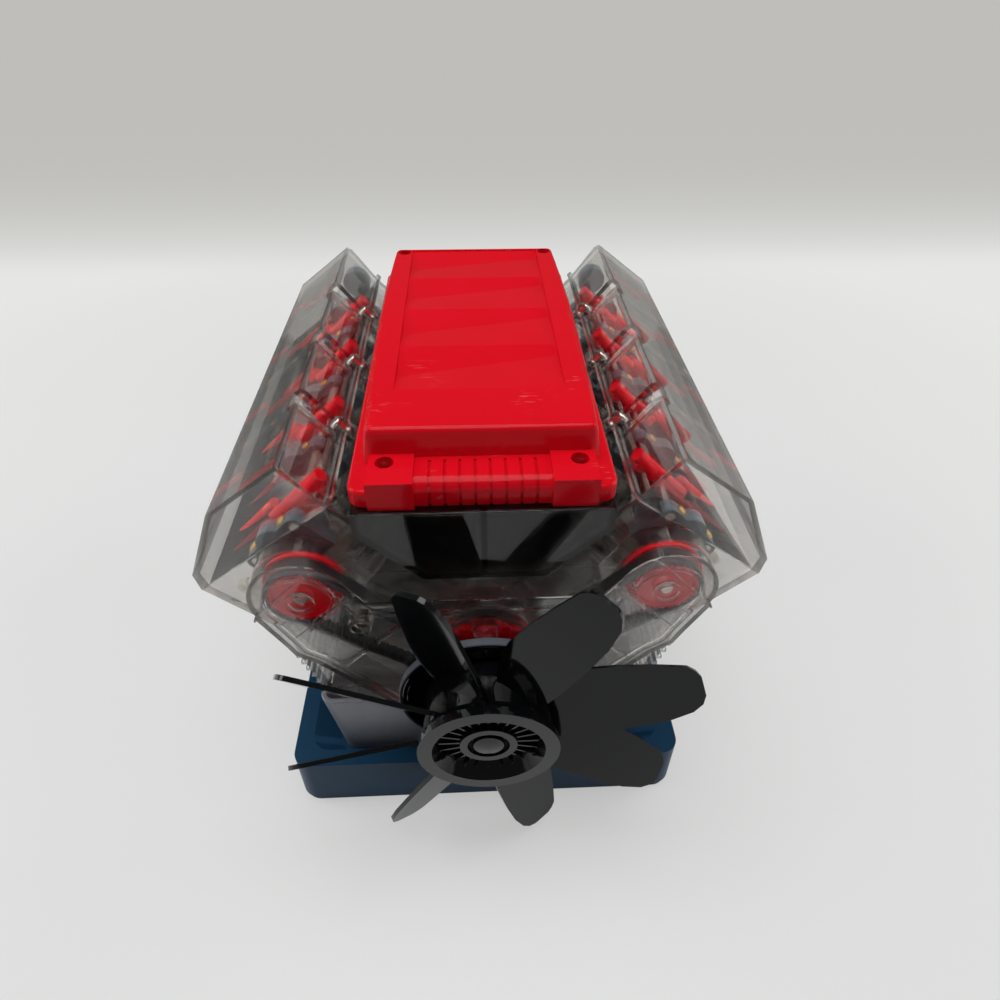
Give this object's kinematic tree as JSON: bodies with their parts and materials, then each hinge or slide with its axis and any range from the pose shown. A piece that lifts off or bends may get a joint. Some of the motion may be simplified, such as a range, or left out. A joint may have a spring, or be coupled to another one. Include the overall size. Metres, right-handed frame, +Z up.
{
  "type": "four stroke engine model",
  "caption": "Clear teaching model of a V engine on a stand: red top cover, moving pistons, camshafts and rockers, and a black fan that turns the crankshaft.",
  "frame": {"origin": "middle of the bounding box, on the surface the stand rests on", "axes": "+X across the engine, +Y from the fan to the rear, +Z up"},
  "size_m": [0.23, 0.252, 0.214],
  "materials": {
    "smoke_plastic": "clear smoke tinted moulding, polished",
    "red_plastic": "glossy red moulding",
    "blue_plastic": "satin deep blue moulding",
    "grey_plastic": "satin blue-grey moulding",
    "silver_plastic": "silver-grey moulding with flake",
    "black_plastic": "glossy black moulding",
    "white_plastic": "glossy ivory moulding",
    "belt_rubber": "black moulded rubber",
    "screw_steel": "nickel plated",
    "screw_brass": "yellow zinc"
  },
  "bodies": {
    "engine": {"base_stand": "blue_plastic", "base_floor_plate": "blue_plastic", "oil_pan": "silver_plastic", "engine_block": "smoke_plastic", "main_bearing_caps": "grey_plastic", "timing_cover": "smoke_plastic", "timing_belt": "belt_rubber", "intake_plenum": "smoke_plastic", "plenum_cover": "red_plastic", "steel_screws": "screw_steel", "brass_screws": "screw_brass", "cam_bearing_stands": "grey_plastic", "rocker_shafts": "screw_steel", "valves": "screw_steel", "valve_springs": "screw_steel", "spark_plugs": "white_plastic", "left_cylinder_head": "smoke_plastic", "right_cylinder_head": "smoke_plastic", "left_rocker_cover": "smoke_plastic", "right_rocker_cover": "smoke_plastic"},
    "crank": {"crankshaft": "silver_plastic", "crank_pulley": "red_plastic", "fan": "black_plastic"},
    "right_cam": {"right_camshaft": "grey_plastic", "right_cam_pulley": "red_plastic"},
    "left_cam": {"left_camshaft": "grey_plastic", "left_cam_pulley": "red_plastic"},
    "idler": {"belt_idler": "grey_plastic"},
    "piston_1": {"piston_1": "silver_plastic"},
    "rod_1": {"connecting_rod_1": "grey_plastic"},
    "piston_2": {"piston_2": "silver_plastic"},
    "rod_2": {"connecting_rod_2": "grey_plastic"},
    "piston_3": {"piston_3": "silver_plastic"},
    "rod_3": {"connecting_rod_3": "grey_plastic"},
    "piston_4": {"piston_4": "silver_plastic"},
    "rod_4": {"connecting_rod_4": "grey_plastic"},
    "piston_5": {"piston_5": "silver_plastic"},
    "rod_5": {"connecting_rod_5": "grey_plastic"},
    "piston_6": {"piston_6": "silver_plastic"},
    "rod_6": {"connecting_rod_6": "grey_plastic"},
    "piston_7": {"piston_7": "silver_plastic"},
    "rod_7": {"connecting_rod_7": "grey_plastic"},
    "piston_8": {"piston_8": "silver_plastic"},
    "rod_8": {"connecting_rod_8": "grey_plastic"},
    "rocker_1": {"rocker_1": "red_plastic"},
    "rocker_2": {"rocker_2": "red_plastic"},
    "rocker_3": {"rocker_3": "red_plastic"},
    "rocker_4": {"rocker_4": "red_plastic"},
    "rocker_5": {"rocker_5": "red_plastic"},
    "rocker_6": {"rocker_6": "red_plastic"},
    "rocker_7": {"rocker_7": "red_plastic"},
    "rocker_8": {"rocker_8": "red_plastic"},
    "rocker_9": {"rocker_9": "red_plastic"},
    "rocker_10": {"rocker_10": "red_plastic"},
    "rocker_11": {"rocker_11": "red_plastic"},
    "rocker_12": {"rocker_12": "red_plastic"},
    "rocker_13": {"rocker_13": "red_plastic"},
    "rocker_14": {"rocker_14": "red_plastic"},
    "rocker_15": {"rocker_15": "red_plastic"},
    "rocker_16": {"rocker_16": "red_plastic"}
  },
  "joints": [
    {"name": "crank_spin", "type": "hinge", "parent": "engine", "child": "crank", "pos_m": [0, -0.079, 0.096], "axis": [0, 1, 0], "continuous": true},
    {"name": "right_cam_spin", "type": "hinge", "parent": "engine", "child": "right_cam", "pos_m": [0.07, -0.079, 0.15681], "axis": [0, 1, 0], "continuous": true},
    {"name": "left_cam_spin", "type": "hinge", "parent": "engine", "child": "left_cam", "pos_m": [-0.07, -0.079, 0.15681], "axis": [0, 1, 0], "continuous": true},
    {"name": "idler_spin", "type": "hinge", "parent": "engine", "child": "idler", "pos_m": [0, -0.079, 0.1135], "axis": [0, 1, 0], "continuous": true},
    {"name": "piston_1_slide", "type": "slide", "parent": "engine", "child": "piston_1", "axis": [0.7071, 0, 0.7071], "range_m": [-0.02298, 0.00502]},
    {"name": "rod_1_swing", "type": "hinge", "parent": "piston_1", "child": "rod_1", "pos_m": [0.04454, -0.049, 0.14054], "axis": [0, 1, 0], "range_deg": [-25.59, 4.46]},
    {"name": "piston_2_slide", "type": "slide", "parent": "engine", "child": "piston_2", "axis": [0.7071, 0, 0.7071], "range_m": [-0.02298, 0.00502]},
    {"name": "rod_2_swing", "type": "hinge", "parent": "piston_2", "child": "rod_2", "pos_m": [0.04454, 0.002, 0.14054], "axis": [0, 1, 0], "range_deg": [-4.46, 25.59]},
    {"name": "piston_3_slide", "type": "slide", "parent": "engine", "child": "piston_3", "axis": [0.7071, 0, 0.7071], "range_m": [-0.00318, 0.02482]},
    {"name": "rod_3_swing", "type": "hinge", "parent": "piston_3", "child": "rod_3", "pos_m": [0.03054, 0.053, 0.12654], "axis": [0, 1, 0], "range_deg": [-25.59, 4.46]},
    {"name": "piston_4_slide", "type": "slide", "parent": "engine", "child": "piston_4", "axis": [0.7071, 0, 0.7071], "range_m": [-0.00318, 0.02482]},
    {"name": "rod_4_swing", "type": "hinge", "parent": "piston_4", "child": "rod_4", "pos_m": [0.03054, 0.104, 0.12654], "axis": [0, 1, 0], "range_deg": [-4.46, 25.59]},
    {"name": "piston_5_slide", "type": "slide", "parent": "engine", "child": "piston_5", "axis": [-0.7071, 0, 0.7071], "range_m": [-0.02298, 0.00502]},
    {"name": "rod_5_swing", "type": "hinge", "parent": "piston_5", "child": "rod_5", "pos_m": [-0.04454, -0.057, 0.14054], "axis": [0, 1, 0], "range_deg": [-4.46, 25.59]},
    {"name": "piston_6_slide", "type": "slide", "parent": "engine", "child": "piston_6", "axis": [-0.7071, 0, 0.7071], "range_m": [-0.00318, 0.02482]},
    {"name": "rod_6_swing", "type": "hinge", "parent": "piston_6", "child": "rod_6", "pos_m": [-0.03054, -0.006, 0.12654], "axis": [0, 1, 0], "range_deg": [-4.46, 25.59]},
    {"name": "piston_7_slide", "type": "slide", "parent": "engine", "child": "piston_7", "axis": [-0.7071, 0, 0.7071], "range_m": [-0.02298, 0.00502]},
    {"name": "rod_7_swing", "type": "hinge", "parent": "piston_7", "child": "rod_7", "pos_m": [-0.04454, 0.045, 0.14054], "axis": [0, 1, 0], "range_deg": [-25.59, 4.46]},
    {"name": "piston_8_slide", "type": "slide", "parent": "engine", "child": "piston_8", "axis": [-0.7071, 0, 0.7071], "range_m": [-0.00318, 0.02482]},
    {"name": "rod_8_swing", "type": "hinge", "parent": "piston_8", "child": "rod_8", "pos_m": [-0.03054, 0.096, 0.12654], "axis": [0, 1, 0], "range_deg": [-25.59, 4.46]},
    {"name": "rocker_1_rock", "type": "hinge", "parent": "engine", "child": "rocker_1", "pos_m": [0.07142, -0.0544, 0.17873], "axis": [0, -1, 0], "range_deg": [0, 6]},
    {"name": "rocker_2_rock", "type": "hinge", "parent": "engine", "child": "rocker_2", "pos_m": [0.08909, -0.0436, 0.16105], "axis": [0, 1, 0], "range_deg": [0, 6]},
    {"name": "rocker_3_rock", "type": "hinge", "parent": "engine", "child": "rocker_3", "pos_m": [0.07142, -0.0034, 0.17873], "axis": [0, -1, 0], "range_deg": [0, 6]},
    {"name": "rocker_4_rock", "type": "hinge", "parent": "engine", "child": "rocker_4", "pos_m": [0.08909, 0.0074, 0.16105], "axis": [0, 1, 0], "range_deg": [0, 6]},
    {"name": "rocker_5_rock", "type": "hinge", "parent": "engine", "child": "rocker_5", "pos_m": [0.07142, 0.0476, 0.17873], "axis": [0, -1, 0], "range_deg": [0, 6]},
    {"name": "rocker_6_rock", "type": "hinge", "parent": "engine", "child": "rocker_6", "pos_m": [0.08909, 0.0584, 0.16105], "axis": [0, 1, 0], "range_deg": [0, 6]},
    {"name": "rocker_7_rock", "type": "hinge", "parent": "engine", "child": "rocker_7", "pos_m": [0.07142, 0.0986, 0.17873], "axis": [0, -1, 0], "range_deg": [0, 6]},
    {"name": "rocker_8_rock", "type": "hinge", "parent": "engine", "child": "rocker_8", "pos_m": [0.08909, 0.1094, 0.16105], "axis": [0, 1, 0], "range_deg": [0, 6]},
    {"name": "rocker_9_rock", "type": "hinge", "parent": "engine", "child": "rocker_9", "pos_m": [-0.07142, -0.0624, 0.17873], "axis": [0, 1, 0], "range_deg": [0, 6]},
    {"name": "rocker_10_rock", "type": "hinge", "parent": "engine", "child": "rocker_10", "pos_m": [-0.08909, -0.0516, 0.16105], "axis": [0, -1, 0], "range_deg": [0, 6]},
    {"name": "rocker_11_rock", "type": "hinge", "parent": "engine", "child": "rocker_11", "pos_m": [-0.07142, -0.0114, 0.17873], "axis": [0, 1, 0], "range_deg": [0, 6]},
    {"name": "rocker_12_rock", "type": "hinge", "parent": "engine", "child": "rocker_12", "pos_m": [-0.08909, -0.0006, 0.16105], "axis": [0, -1, 0], "range_deg": [0, 6]},
    {"name": "rocker_13_rock", "type": "hinge", "parent": "engine", "child": "rocker_13", "pos_m": [-0.07142, 0.0396, 0.17873], "axis": [0, 1, 0], "range_deg": [0, 6]},
    {"name": "rocker_14_rock", "type": "hinge", "parent": "engine", "child": "rocker_14", "pos_m": [-0.08909, 0.0504, 0.16105], "axis": [0, -1, 0], "range_deg": [0, 6]},
    {"name": "rocker_15_rock", "type": "hinge", "parent": "engine", "child": "rocker_15", "pos_m": [-0.07142, 0.0906, 0.17873], "axis": [0, 1, 0], "range_deg": [0, 6]},
    {"name": "rocker_16_rock", "type": "hinge", "parent": "engine", "child": "rocker_16", "pos_m": [-0.08909, 0.1014, 0.16105], "axis": [0, -1, 0], "range_deg": [0, 6]}
  ],
  "couplings": [
    {"joint": "right_cam_spin", "follows": "crank_spin", "ratio": 0.5},
    {"joint": "left_cam_spin", "follows": "crank_spin", "ratio": 0.5},
    {"joint": "idler_spin", "follows": "crank_spin", "ratio": -1.05},
    {"joint": "piston_5_slide", "follows": "piston_2_slide", "ratio": 1},
    {"joint": "rod_5_swing", "follows": "rod_2_swing", "ratio": 1},
    {"joint": "piston_6_slide", "follows": "piston_4_slide", "ratio": 1},
    {"joint": "rod_6_swing", "follows": "rod_4_swing", "ratio": 1},
    {"joint": "piston_8_slide", "follows": "piston_3_slide", "ratio": 1},
    {"joint": "rod_8_swing", "follows": "rod_3_swing", "ratio": 1},
    {"joint": "piston_7_slide", "follows": "piston_1_slide", "ratio": 1},
    {"joint": "rod_7_swing", "follows": "rod_1_swing", "ratio": 1}
  ]
}
